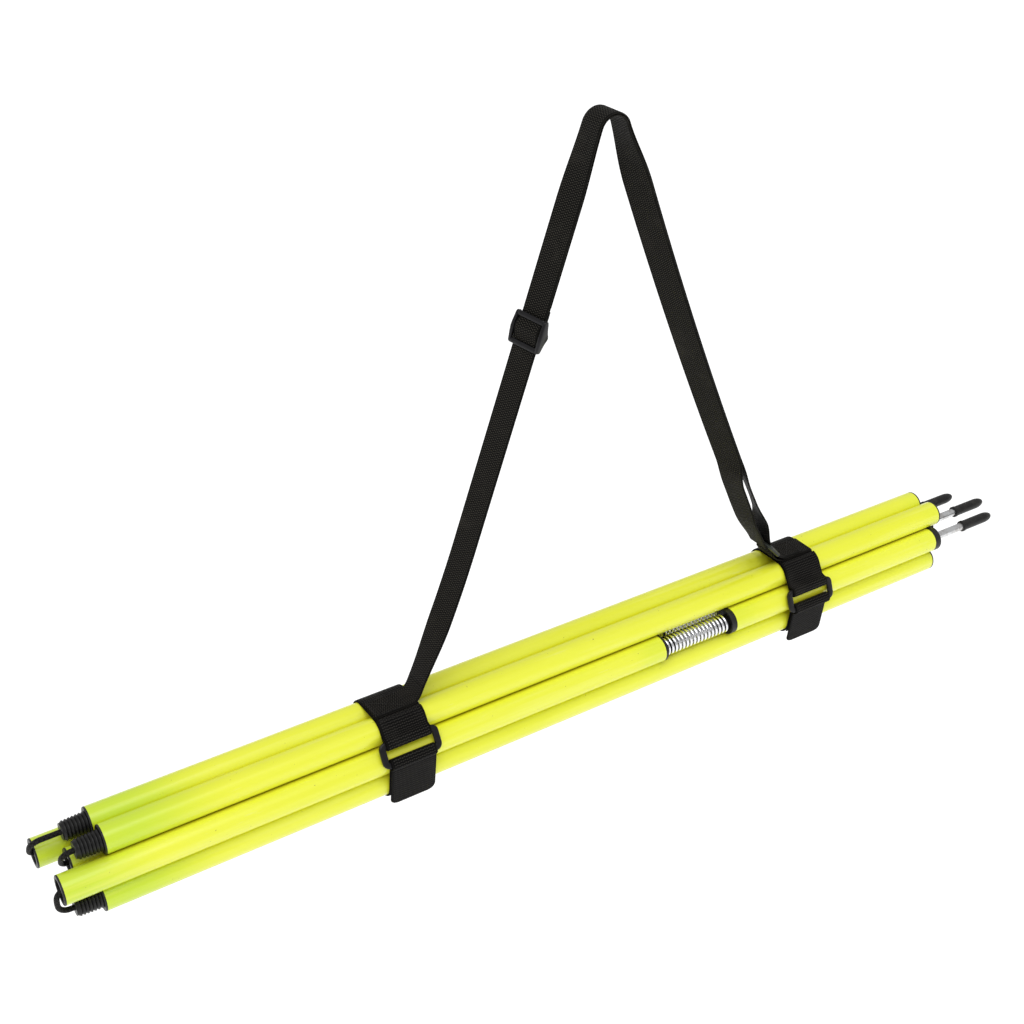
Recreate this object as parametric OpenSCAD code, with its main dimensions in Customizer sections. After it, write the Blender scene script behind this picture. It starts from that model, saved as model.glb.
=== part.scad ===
// Carry set of three two-section sprung marker poles.
//
// Millimetres. The origin is the middle of the strap's apex, where the set hangs. X runs along
// the poles, with the ground spikes at +X, Y runs to the back and Z is up.

/* [Poles] */
// Outside diameter of every tube
tube_d = 25; // [24:0.5:26]
// Wall thickness of every tube
tube_wall = 2.2; // [2:0.1:2.3]
// Length of an upper section's tube
upper_len = 903; // [880:1:915]
// Length of a lower section's tube, from the socket to the spring
lower_len = 575; // [560:1:585]
// Length of the coiled spring
spring_len = 77; // [71.5:5.5:93.5]
// Length of the ground tube below the spring
ground_len = 269; // [250:1:290]
// Diameter of the tether cord
cord_d = 4.6; // [4:0.1:5]

/* [Spikes] */
// Diameter of the ground spike
spike_d = 8; // [7:0.5:9]
// How far the spike stands out of its collar
spike_out = 82; // [75:1:100]
// Length of the rubber cap
cap_len = 45; // [40:1:50]
// Diameter of the rubber cap
cap_d = 11.6; // [11:0.1:14]

/* [Bands] */
// Width of the webbing bands round the bundle
band_w = 44; // [40:1:50]
// Thickness of all webbing
web_t = 1.6; // [1.2:0.1:1.6]
// Middle of the left band along the poles
band_left_x = -209; // [-260:1:-200]
// Middle of the right band along the poles
band_right_x = 241; // [240:1:300]

/* [Strap] */
// Width of the shoulder strap's webbing
strap_w = 25; // [20:1:25]
// Radius of the round bar that the apex hangs on
hang_r = 12; // [12:1:18]
// Height of the apex above the axes of the top tubes
hang_h = 480; // [460:1:500]
// Distance of the slider from the apex, along the strap
slider_s = 166; // [150:1:240]

/* [View] */
// Sub-part to draw, or all of them

/* [Hidden] */
$fn = 64;

// ---- the bundle's cross-section: two tubes over three over one ----
gap = 0.3;
tube_r = tube_d / 2;
bore_r = tube_r - tube_wall;
pitch = tube_d + gap;
row_h = pitch * sin(60);
top_y = -9.7;                              // puts the bundle's weight under the strap
top_z = -hang_h;
nest = 7;                                  // lean of the bottom tube under its neighbour
upper_yz = [[top_y + pitch, top_z], [top_y, top_z],
            [top_y - pitch / 2 + pitch * sin(nest), top_z - row_h - pitch * cos(nest)]];
lower_yz = [for (i = [1.5, 0.5, -0.5]) [top_y + i * pitch, top_z - row_h]];
upper_x = [-472, -470, -480];              // left ends of the upper tubes
lower_x = [-515, -495, -510];              // left ends of the lower tubes

// ---- ends of the tubes ----
flange_t = 1.5;
edge = 0.5;                                // chamfer round discs and flanges
plug_in = 25;                              // plug's shank inside the upper tube
plug_out = 21;                             // ribbed part outside it
ribs = 7;
end_cap_t = 2;
cord_r = cord_d / 2;
cord_hole = cord_r + 0.3;
socket_r = bore_r - 0.95;
socket_in = 30;
anchor_in = 45;
anchor_t = 8;
cord_end = 20;                              // cord ends this far inside the upper tube

// ---- spring and ground end ----
ferrule_up = 3;
ferrule_low = 6;
coil = 4.5;                                // pitch of the spring's turns
spring_r = tube_r - 3;
turns = round(spring_len / coil);
collar_t = 8;
spring_x = lower_len + ferrule_up;
ground_x = spring_x + spring_len + ferrule_low;
spike_x = ground_x + ground_len + collar_t;
tip_l = 12;
cap_back = 5;                              // cap's end past the spike's tip

// ---- bands ----
band_x = [band_left_x, band_right_x];
band_r = tube_r + gap;
band_out = band_r + web_t;
pad_t = 1.2;
tail_r = band_out + pad_t + 0.2;
loop_bar = 6;
loop_out = [band_w + 1 + 2 * loop_bar, 23]; // plastic loop, outside
loop_t = 3.5;
fold = 0.1;                                // webbing's clearance on a bar
loop_off = band_out + fold + loop_t / 2;   // loop's middle, out from the tubes' axes
bar_at = (loop_out[1] - loop_bar) / 2;
cut = bar_at - loop_bar / 2 - fold - web_t; // half the band's opening behind the loop
loop_tilt = 60;
loop_drop = [7, 15];                       // loop's middle, down the front from between two tubes
front = [-cos(nest), -sin(nest)];          // out of the band's front below the middle row
down = [sin(nest), -cos(nest)];            // along it
tail_mid = tail_r + web_t / 2;
pad_mid = band_out + pad_t / 2 + 0.05;
pad_from = [1, 6];
root_yz = [lower_yz[2] + tail_mid * dir(182), lower_yz[2] + tail_mid * front + 7.5 * down];
tail_path = [[root_yz[0], lower_yz[2] + tail_mid * front, upper_yz[2] + tail_mid * front + 14 * down],
             [root_yz[1], upper_yz[2] + tail_mid * front + 19 * down]];

// ---- strap ----
half_w = strap_w / 2;
layer = 0.05;                              // half the space between the two layers
mid_r = hang_r + web_t + layer;            // radius between the two layers
swing_z = top_z + 28;
left_aim = [-174, swing_z];                // where the left leg's straight part points
left_end = [-182, swing_z];
ring_bar_r = 2;
ring_h = 11;                               // height between the ring's two bars
ring_x = 213;
right_end = [ring_x - 10, swing_z + ring_h];
spread = ring_bar_r + fold;
slider_bar_r = 1.6;
slider_rail = 3.5;
slider_l = 27.5;
slider_end = 4.5;
tongue = 24;

function dir(a) = [cos(a), sin(a)];

// Angle of the tangent from the apex circle down to a leg's end, from straight down
function lean(p) = atan2(abs(p[0]), -p[1]) - asin(mid_r / norm(p));
left_lean = lean(left_aim);
right_lean = lean(right_end);

// One leg: [start, direction, length, side], with side -1 for left and 1 for right
function leg(p, a, side) =
    let (s = mid_r * [side * cos(a), sin(a)])
    [s, [side * sin(a), -cos(a)], norm(p - s), side];
left_leg = leg(left_aim, left_lean, -1);
right_leg = leg(right_end, right_lean, 1);

// Twist of the webbing along a leg: none at both ends, full between them
function ease(x) = let (c = min(1, max(0, x))) c * c * (3 - 2 * c);
turn_l = 60;
twist = [-15, -30];                        // left and right leg
function twist_at(l, s) = twist[l[3] < 0 ? 0 : 1] * ease(s / turn_l) * ease((l[2] - s) / turn_l);

// Webbing's own axes at s along a leg: along, across and out of its face
function along(l) = [l[1][0], 0, l[1][1]];
function across(l, s) =
    let (a = twist_at(l, s)) cos(a) * [0, 1, 0] + sin(a) * cross(along(l), [0, 1, 0]);
function facing(l, s) = l[3] * cross(along(l), across(l, s));

// A leg's sway from its straight line: the left one kicks out at its end, the right one bows in
function sway(l, s) =
    let (u = s / l[2], v = max(0, (s - l[2] + 130) / 130))
    l[3] < 0 ? (left_end[0] - left_aim[0]) * v * v : -26 * u * (1 - u);
function place(l, s) = [l[0][0] + sway(l, s), 0, l[0][1]] + along(l) * s;

// Slack of the inner run near the ring
function slack(l, s) = let (x = min(1, abs(s - l[2] + 70) / 70)) 5 * pow(1 - x * x, 2);

// Stations along a leg: close together where the webbing twists
function stations(l, a, b) =
    [for (s = concat([for (i = [0:10]) i * 6], [for (i = [1:12]) 60 + i * (l[2] - 120) / 13],
                     [for (i = [10:-1:0]) l[2] - i * 6]))
        if (s >= a && s <= b) s];

// A ribbon along a leg, from offset o1 to o2 out of the leg's line. It parts from the line by part
// times the ring bar's radius at its end, and can turn round that bar.
module ribbon(l, b, o1, o2, part = 0, turned = false) {
    st = concat([for (s = stations(l, 0, b - 0.5)) s], [b]);
    open = [for (s = st) part * (spread - layer) * ease((s - l[2] + 90) / 90)
        - (part < 0 ? slack(l, s) : 0)];
    w1 = across(l, l[2]) * half_w;
    pts = concat([for (i = [0:len(st) - 1])
        let (s = st[i], p = place(l, s), w = across(l, s) * half_w, n = facing(l, s))
        each [p - w + n * (o1 + open[i]), p + w + n * (o1 + open[i]),
              p + w + n * (o2 + open[i]), p - w + n * (o2 + open[i])]],
        [for (a = turned ? [22.5:22.5:180] : [])
        let (p = place(l, l[2]), d = sin(a) * along(l) - cos(a) * facing(l, l[2]))
        each [p - w1 + d * (spread + web_t), p + w1 + d * (spread + web_t),
              p + w1 + d * spread, p - w1 + d * spread]]);
    n = len(pts) / 4 - 1;
    ends = [[0, 1, 2], [0, 2, 3], [4 * n, 4 * n + 2, 4 * n + 1], [4 * n, 4 * n + 3, 4 * n + 2]];
    // both faces are cut along the same diagonal, so that two layers nest where they twist
    sides = [for (i = [0:n - 1], k = [0:3])
        let (a = 4 * i + k, b = 4 * i + (k + 1) % 4)
            each k == 2 ? [[a, a + 4, b + 4], [a, b + 4, b]] : [[a, a + 4, b], [b, a + 4, b + 4]]];
    faces = concat(ends, sides);
    polyhedron(pts, l[3] < 0 ? [for (f = faces) [f[2], f[1], f[0]]] : faces);
}

// ---- placing helpers ----
module on_axis(yz, x) { translate([x, yz[0], yz[1]]) rotate([0, 90, 0]) children(); }
module across_bundle(x, w) {
    translate([x, 0, 0]) rotate([90, 0, 90]) linear_extrude(w) children();
}
module pipe(l, r1, r2) {
    difference() {
        cylinder(h = l, r = r1);
        translate([0, 0, -1]) cylinder(h = l + 2, r = r2);
    }
}

// A disc with a chamfer round its far edge
module disc(h) {
    cylinder(h = h - edge, r = tube_r);
    translate([0, 0, h - edge]) cylinder(h = edge, r1 = tube_r, r2 = tube_r - edge);
}

// ---- upper section ----
module upper_tube(k) {
    color("#e6ee2c") on_axis(upper_yz[k], upper_x[k]) pipe(upper_len, tube_r, bore_r);
}

module upper_end_cap(k) {
    color("#1d1c1a") on_axis(upper_yz[k], upper_x[k] + upper_len) {
        disc(end_cap_t);
        translate([0, 0, -14]) pipe(14, bore_r - 0.05, bore_r - 2);
    }
}

module ribbed_plug(k) {
    rib = (plug_out - 1) / ribs;
    profile = concat(
        [[0, plug_in], [0, cord_end], [cord_hole, cord_end], [cord_hole, -flange_t - plug_out],
         [socket_r - 1.45 - 0.12 * (ribs - 1), -flange_t - plug_out]],
        [for (i = [ribs - 1:-1:0]) let (r = socket_r - 0.15 - 0.12 * i, x = -flange_t - i * rib)
            each [[r - 1.3, x - rib], [r, x - 0.35 * rib], [r, x - 0.15 * rib], [r - 1.3, x]]],
        [[tube_r - edge, -flange_t], [tube_r, edge - flange_t], [tube_r, 0], [bore_r - 0.05, 0],
         [bore_r - 0.05, plug_in]]);
    color("#1d1c1a") on_axis(upper_yz[k], upper_x[k]) rotate_extrude() polygon(profile);
}

// ---- tether cord: a bend that joins the two axes of a pole ----
// Each point is [x, share of the way from the upper tube's axis to the lower tube's axis]
cord_turn = [-509.8, -492.8, -505.3];      // where the bend starts and ends
cord_from = [-452, -450, -460];
cord_to = [-462, -442, -457];
cord_bend = 9.4;                           // radius of the bend's two corners
tether_route = [for (k = [0:2]) concat(
    [for (i = [0:4]) [cord_from[k] + (cord_turn[k] - cord_from[k]) * i / 5, 0]],
    [for (a = [0:22.5:90]) [cord_turn[k] - cord_bend * sin(a), cord_bend * (1 - cos(a)) / pitch]],
    [for (a = [90:22.5:180]) [cord_turn[k] - cord_bend * sin(a), 1 - cord_bend * (1 + cos(a)) / pitch]],
    [for (i = [1:5]) [cord_turn[k] + (cord_to[k] - cord_turn[k]) * i / 5, 1]])];
cord_sides = 10;
cord_steps = 3;

// Point and direction at u along a route, on a smooth curve through its points
function at(p, i) = p[min(len(p) - 1, max(0, i))];
function smooth(p, i, t) =
    let (a = at(p, i - 1), b = at(p, i), c = at(p, i + 1), d = at(p, i + 2))
    0.5 * (2 * b + t * (c - a) + t * t * (2 * a - 5 * b + 4 * c - d)
        + t * t * t * (3 * b - a - 3 * c + d));

module tether_cord(k) {
    step = lower_yz[k] - upper_yz[k];
    side = [-step[1], step[0]] / norm(step);
    route = [for (p = tether_route[k]) [p[0], p[1] * norm(step)]];
    flat = concat([for (i = [0:len(route) - 2], j = [0:cord_steps - 1]) smooth(route, i, j / cord_steps)],
        [route[len(route) - 1]]);
    n = len(flat);
    ring = [for (i = [0:n - 1])
        let (d = i == 0 || i == n - 1 ? [i == 0 ? -1 : 1, 0] : flat[i + 1] - flat[i - 1],
             m = [-d[1], d[0]] / norm(d))
        each [for (a = [0:cord_sides - 1]) let (q = cord_r * dir(360 * a / cord_sides))
            let (x = flat[i][0] + m[0] * q[0], u = flat[i][1] + m[1] * q[0],
                 yz = upper_yz[k] + step / norm(step) * u + side * q[1])
            [x, yz[0], yz[1]]]];
    m = cord_sides;
    faces = concat([[for (a = [0:m - 1]) a]], [[for (a = [m - 1:-1:0]) (n - 1) * m + a]],
        [for (i = [0:n - 2], a = [0:m - 1]) let (b = (a + 1) % m)
            each [[i * m + a, (i + 1) * m + a, i * m + b], [i * m + b, (i + 1) * m + a, (i + 1) * m + b]]]);
    color("#22211f") polyhedron(ring, faces);
}

// ---- lower section ----
module cord_anchor(k) {
    color("#2a2927") on_axis(lower_yz[k], lower_x[k] + anchor_in)
        pipe(anchor_t, bore_r - 0.05, cord_r + 0.05);
}

module socket_ring(k) {
    color("#1d1c1a") on_axis(lower_yz[k], lower_x[k]) difference() {
        union() {
            rotate([180, 0, 0]) disc(flange_t);
            cylinder(h = socket_in, r = bore_r - 0.05);
        }
        translate([0, 0, -flange_t - 1]) cylinder(h = socket_in + flange_t + 2, r = socket_r);
    }
}

module lower_tube(k) {
    color("#e6ee2c") on_axis(lower_yz[k], lower_x[k]) pipe(lower_len, tube_r, bore_r);
}

module spring_ferrule_up(k) {
    color("#1d1c1a") on_axis(lower_yz[k], lower_x[k] + lower_len) {
        translate([0, 0, -18]) cylinder(h = 18, r = bore_r - 0.05);
        disc(ferrule_up);
        translate([0, 0, ferrule_up]) cylinder(h = 12, r = spring_r - 2.85);
    }
}

// The coil, as a sleeve with one groove for each turn
module ground_spring(k) {
    p = spring_len / turns;
    profile = concat([[spring_r - 2.8, 0]],
        [for (i = [0:turns - 1]) let (x = i * p)
            each [[spring_r - 2.2, x], [spring_r - 1, x + 0.22 * p], [spring_r, x + 0.38 * p],
                  [spring_r, x + 0.62 * p], [spring_r - 1, x + 0.78 * p]]],
        [[spring_r - 2.2, spring_len], [spring_r - 2.8, spring_len]]);
    color("#c9ccd0") on_axis(lower_yz[k], lower_x[k] + spring_x) rotate_extrude($fn = 48) polygon(profile);
}

module spring_ferrule_low(k) {
    color("#1d1c1a") on_axis(lower_yz[k], lower_x[k] + ground_x) {
        translate([0, 0, -ferrule_low - 12]) cylinder(h = 12, r = spring_r - 2.85);
        rotate([180, 0, 0]) disc(ferrule_low);
        cylinder(h = 18, r = bore_r - 0.05);
    }
}

module ground_tube(k) {
    color("#e6ee2c") on_axis(lower_yz[k], lower_x[k] + ground_x) pipe(ground_len, tube_r, bore_r);
}

module ground_collar(k) {
    color("#1d1c1a") on_axis(lower_yz[k], lower_x[k] + spike_x) difference() {
        union() {
            translate([0, 0, -collar_t]) disc(collar_t);
            translate([0, 0, -collar_t - 22]) cylinder(h = 22, r = bore_r - 0.05);
        }
        translate([0, 0, -collar_t - 23]) cylinder(h = collar_t + 24, r = spike_d / 2 + 0.02);
    }
}

module spike(k) {
    color("#c4c7cb") on_axis(lower_yz[k], lower_x[k] + spike_x) {
        translate([0, 0, -collar_t - 22]) cylinder(h = collar_t + 22 + spike_out - tip_l, r = spike_d / 2);
        translate([0, 0, spike_out - tip_l]) cylinder(h = tip_l, r1 = spike_d / 2, r2 = 1);
    }
}

module spike_cap(k) {
    hole = cap_len - cap_back;             // from the cap's mouth to the spike's tip
    r = spike_d / 2 + 0.06;
    color("#181715") on_axis(lower_yz[k], lower_x[k] + spike_x + spike_out - hole) rotate_extrude()
        polygon(concat(
            [[r, 0], [cap_d / 2 - 0.6, 0], [cap_d / 2, 0.6], [cap_d / 2, 3], [cap_d / 2 - 0.5, 3.6],
             [cap_d / 2 - 0.5, cap_len - 12]],
            [for (a = [15:15:75]) [(cap_d / 2 - 0.5) * cos(a), cap_len - 12 + 12 * sin(a)]],
            [[0, cap_len], [0, hole + 0.3], [1.1, hole + 0.3], [r, hole - tip_l + 0.3]]));
}

// ---- bands ----
module wrap(r) {
    hull() for (p = [upper_yz[0], upper_yz[1], lower_yz[2], upper_yz[2], lower_yz[0]])
        translate(p) circle(r = r, $fn = 96);
}

// Where a loop lies against the wrap, d down its front: [centre of the tangent's frame, tilt]
function loop_frame(d) = d < pitch / 2
    ? [(upper_yz[1] + lower_yz[2]) / 2 - d * dir(loop_tilt), loop_tilt]
    : [lower_yz[2], loop_tilt + (d - pitch / 2) / band_out * 57.296];

module at_loop(k) {
    f = loop_frame(loop_drop[k]);
    translate(f[0]) rotate(f[1]) children();
}

module webbing_fold(k, s) {
    at_loop(k) translate([s * bar_at, loop_off]) difference() {
        offset(r = 1.5, $fn = 32)
            square([loop_bar + 2 * (fold + web_t) - 3, loop_t + 2 * (fold + web_t) - 3], center = true);
        square([loop_bar + 2 * fold, loop_t + 2 * fold], center = true);
    }
}

module band(k) {
    color("#1f1c1a") across_bundle(band_x[k] - band_w / 2, band_w) {
        difference() {
            wrap(band_out);
            wrap(band_r);
            at_loop(k) translate([-cut, band_r - 1]) square([2 * cut, 30]);
        }
        webbing_fold(k, -1);
        webbing_fold(k, 1);
    }
}

module band_loop(k) {
    f = loop_frame(loop_drop[k]);
    color("#201e20") translate([band_x[k], f[0][0], f[0][1]]) rotate([f[1], 0, 0])
        translate([0, 0, loop_off - loop_t / 2]) linear_extrude(loop_t) difference() {
            offset(r = 3, $fn = 32) square(loop_out - [6, 6], center = true);
            square(loop_out - 2 * loop_bar * [1, 1], center = true);
        }
}

module end_profile(path, t) {
    for (i = [0:len(path) - 2]) hull() for (p = [path[i], path[i + 1]]) translate(p) circle(d = t, $fn = 16);
}

module hook_pad(k) {
    path = concat([lower_yz[2] + pad_mid * front + pad_from[k] * down],
        [for (a = [180 + nest:6:229]) upper_yz[2] + pad_mid * dir(a)]);
    color("#161412") across_bundle(band_x[k] - band_w / 2 + 3, band_w - 6) end_profile(path, pad_t);
}

module band_tail(k) {
    color("#1f1c1a") across_bundle(band_x[k] - band_w / 2, band_w) end_profile(tail_path[k], web_t);
}

// ---- shoulder strap ----
// Both layers over the apex, whose inner wall hangs on a round bar
module strap_apex() {
    color("#211e1b") rotate([90, 0, 0]) rotate([0, 0, right_lean])
        rotate_extrude(angle = 180 - right_lean - left_lean, $fn = 96)
            translate([hang_r, -half_w]) square([2 * (web_t + layer), strap_w]);
}

module strap_left_leg() {
    color("#211e1b") ribbon(left_leg, left_leg[2], layer, layer + web_t);
}

module strap_right_leg() {
    color("#211e1b") ribbon(right_leg, right_leg[2], layer, layer + web_t, 1);
}

module strap_inner_left() {
    color("#26221f") ribbon(left_leg, slider_s - tongue, -layer - web_t, -layer);
}

module strap_inner_right() {
    color("#26221f") ribbon(right_leg, right_leg[2], -layer - web_t, -layer, -1, true);
}

module at_slider() {
    l = left_leg;
    p = place(l, slider_s);
    t = along(l);
    w = across(l, slider_s);
    n = facing(l, slider_s);
    multmatrix([[t[0], w[0], n[0], p[0]], [t[1], w[1], n[1], p[1]], [t[2], w[2], n[2], p[2]], [0, 0, 0, 1]])
        children();
}

slider_bar_o = -0.4 - web_t - fold - slider_bar_r;

module strap_slider() {
    low = slider_bar_o - slider_bar_r;
    high = layer + web_t + 3.2;
    color("#201e20") at_slider() {
        for (s = [-1, 1]) translate([-slider_l / 2, s > 0 ? half_w + 0.8 : -half_w - 0.8 - slider_rail, low])
            cube([slider_l, slider_rail, high - low]);
        for (s = [-1, 1])
            translate([s * (slider_l - slider_end) / 2 - slider_end / 2, -half_w - 1, high - 2.8])
                cube([slider_end, strap_w + 2, 2.8]);
        translate([0, half_w + 1, slider_bar_o]) rotate([90, 0, 0])
            cylinder(h = strap_w + 2, r = slider_bar_r);
    }
}

module slider_loop() {
    r = slider_bar_r + fold;
    color("#26221f") at_slider() translate([0, half_w, slider_bar_o]) rotate([90, 0, 0]) difference() {
        union() {
            cylinder(h = strap_w, r = r + web_t);
            translate([-tongue + 0.2, r, 0]) cube([tongue - 0.2, web_t, strap_w]);
            translate([-tongue + 4, r - web_t, 0]) cube([tongue - 4, web_t, strap_w]);
        }
        translate([0, 0, -1]) cylinder(h = strap_w + 2, r = r);
    }
}

module strap_ring() {
    d = [right_end[0] - ring_x, ring_h];
    len_r = norm(d);
    color("#201e20") translate([ring_x, 0, swing_z]) rotate([0, atan2(d[0], d[1]), 0]) {
        for (z = [0, len_r]) translate([0, half_w + 3, z]) rotate([90, 0, 0])
            cylinder(h = strap_w + 6, r = ring_bar_r);
        for (y = [-1, 1]) translate([0, y * (half_w + 3), 0]) {
            cylinder(h = len_r, r = ring_bar_r);
            for (z = [0, len_r]) translate([0, 0, z]) sphere(r = ring_bar_r);
        }
    }
}

// Webbing that leaves the strap or the ring and is sewn flat on a band
patch_z = top_z + band_out + 0.3 + web_t / 2;

module strap_left_end() {
    x = band_x[0];
    path = [[x - band_w / 2 + 1, patch_z], [x + band_w / 2 - 3, patch_z],
            [x + band_w / 2 + 2, patch_z + 2], [left_end[0] - 0.4, swing_z - 3]];
    color("#211e1b") rotate([90, 0, 0]) translate([0, 0, -half_w]) linear_extrude(strap_w)
        end_profile(path, web_t);
}

module ring_tab() {
    x = band_x[1];
    r = ring_bar_r + fold + web_t / 2;
    path = [[x + band_w / 2 - 1, patch_z], [x - band_w / 2 + 4, patch_z], [x - band_w / 2 - 2, patch_z + 2],
            [ring_x - r, swing_z - 2]];
    color("#1f1c1a") rotate([90, 0, 0]) translate([0, 0, -half_w]) linear_extrude(strap_w) {
        end_profile(path, web_t);
        translate([ring_x, swing_z]) difference() {
            circle(r = r + web_t / 2, $fn = 48);
            circle(r = r - web_t / 2, $fn = 48);
        }
    }
}

upper_tube(0);  // upper_tube_1
upper_tube(1);  // upper_tube_2
upper_tube(2);  // upper_tube_3
upper_end_cap(0);  // upper_end_cap_1
upper_end_cap(1);  // upper_end_cap_2
upper_end_cap(2);  // upper_end_cap_3
ribbed_plug(0);  // ribbed_plug_1
ribbed_plug(1);  // ribbed_plug_2
ribbed_plug(2);  // ribbed_plug_3
tether_cord(0);  // tether_cord_1
tether_cord(1);  // tether_cord_2
tether_cord(2);  // tether_cord_3
cord_anchor(0);  // cord_anchor_1
cord_anchor(1);  // cord_anchor_2
cord_anchor(2);  // cord_anchor_3
socket_ring(0);  // socket_ring_1
socket_ring(1);  // socket_ring_2
socket_ring(2);  // socket_ring_3
lower_tube(0);  // lower_tube_1
lower_tube(1);  // lower_tube_2
lower_tube(2);  // lower_tube_3
spring_ferrule_up(0);  // spring_ferrule_up_1
spring_ferrule_up(1);  // spring_ferrule_up_2
spring_ferrule_up(2);  // spring_ferrule_up_3
ground_spring(0);  // ground_spring_1
ground_spring(1);  // ground_spring_2
ground_spring(2);  // ground_spring_3
spring_ferrule_low(0);  // spring_ferrule_low_1
spring_ferrule_low(1);  // spring_ferrule_low_2
spring_ferrule_low(2);  // spring_ferrule_low_3
ground_tube(0);  // ground_tube_1
ground_tube(1);  // ground_tube_2
ground_tube(2);  // ground_tube_3
ground_collar(0);  // ground_collar_1
ground_collar(1);  // ground_collar_2
ground_collar(2);  // ground_collar_3
spike(0);  // spike_1
spike(1);  // spike_2
spike(2);  // spike_3
spike_cap(0);  // spike_cap_1
spike_cap(1);  // spike_cap_2
spike_cap(2);  // spike_cap_3
band(0);  // band_left
band(1);  // band_right
band_loop(0);  // band_loop_left
band_loop(1);  // band_loop_right
hook_pad(0);  // hook_pad_left
hook_pad(1);  // hook_pad_right
band_tail(0);  // band_tail_left
band_tail(1);  // band_tail_right
strap_apex();
strap_left_leg();
strap_right_leg();
strap_inner_left();
strap_inner_right();
strap_slider();
slider_loop();
strap_ring();
strap_left_end();
ring_tab();
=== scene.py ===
import math
import bpy
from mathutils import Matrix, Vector


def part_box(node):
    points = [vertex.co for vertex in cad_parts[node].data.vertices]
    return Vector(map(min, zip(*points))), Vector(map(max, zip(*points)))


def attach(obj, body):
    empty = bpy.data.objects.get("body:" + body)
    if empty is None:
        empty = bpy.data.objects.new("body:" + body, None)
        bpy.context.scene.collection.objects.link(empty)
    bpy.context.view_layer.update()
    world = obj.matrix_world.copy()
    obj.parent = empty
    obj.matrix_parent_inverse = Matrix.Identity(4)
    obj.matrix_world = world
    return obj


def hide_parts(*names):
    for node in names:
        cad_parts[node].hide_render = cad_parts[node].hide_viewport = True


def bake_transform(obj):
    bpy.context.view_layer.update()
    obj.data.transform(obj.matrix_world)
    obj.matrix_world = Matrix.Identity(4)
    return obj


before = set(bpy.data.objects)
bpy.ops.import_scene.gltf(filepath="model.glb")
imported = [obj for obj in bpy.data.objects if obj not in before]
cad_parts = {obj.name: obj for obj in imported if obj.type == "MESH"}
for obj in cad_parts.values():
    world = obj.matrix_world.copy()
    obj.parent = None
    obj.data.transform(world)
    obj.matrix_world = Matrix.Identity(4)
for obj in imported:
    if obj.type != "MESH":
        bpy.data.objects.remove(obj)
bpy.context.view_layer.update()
scene = bpy.context.scene

# ------------------------------------------------------------------ camera
CAMERA_AT = (-0.669, -0.9095, 0.341)
LOOKS_DOWN, TURNED = 31.2, 32.7                        # degrees below level, and towards +X
LENS = 52.7
cam_data = bpy.data.cameras.new("camera")
cam_data.lens, cam_data.sensor_width = LENS, 36
cam_data.clip_start, cam_data.clip_end = 0.05, 60
camera = bpy.data.objects.new("camera", cam_data)
camera.location = CAMERA_AT
camera.rotation_euler = (math.radians(90 - LOOKS_DOWN), 0, math.radians(-TURNED))
scene.collection.objects.link(camera)
scene.camera = camera


# ------------------------------------------------------------------ numbers from the CAD
def centre_yz(node):
    lo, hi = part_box(node)
    return Vector(((lo.y + hi.y) / 2, (lo.z + hi.z) / 2))


UP = [centre_yz(f"upper_tube_{k}") for k in (1, 2, 3)]
LOW = [centre_yz(f"lower_tube_{k}") for k in (1, 2, 3)]
TUBE_R = (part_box("upper_tube_1")[1].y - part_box("upper_tube_1")[0].y) / 2
WEB = 0.0016                                           # thickness of all the webbing
TOUCH = 0.0001                                         # room left between a strip and what it lies on
BAND_R = TUBE_R + 0.0003                               # a band's inner radius round one tube
BAND_W = 0.044
BAND_X = {side: sum(corner.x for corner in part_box("band_" + side)) / 2 for side in ("left", "right")}
HANG_R = 0.012                                         # radius of the bar that the apex hangs on
MID_R = HANG_R + WEB + TOUCH / 2                       # radius between the apex's two layers
HALF = 0.0125                                          # half the strap's width
SWING_Z = -0.452                                       # height of the strap's hinge above the bands
LEFT_AIM = Vector((-0.174, SWING_Z))
RING_X = 0.213
RIGHT_END = Vector((RING_X - 0.010, SWING_Z + 0.011))


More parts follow.
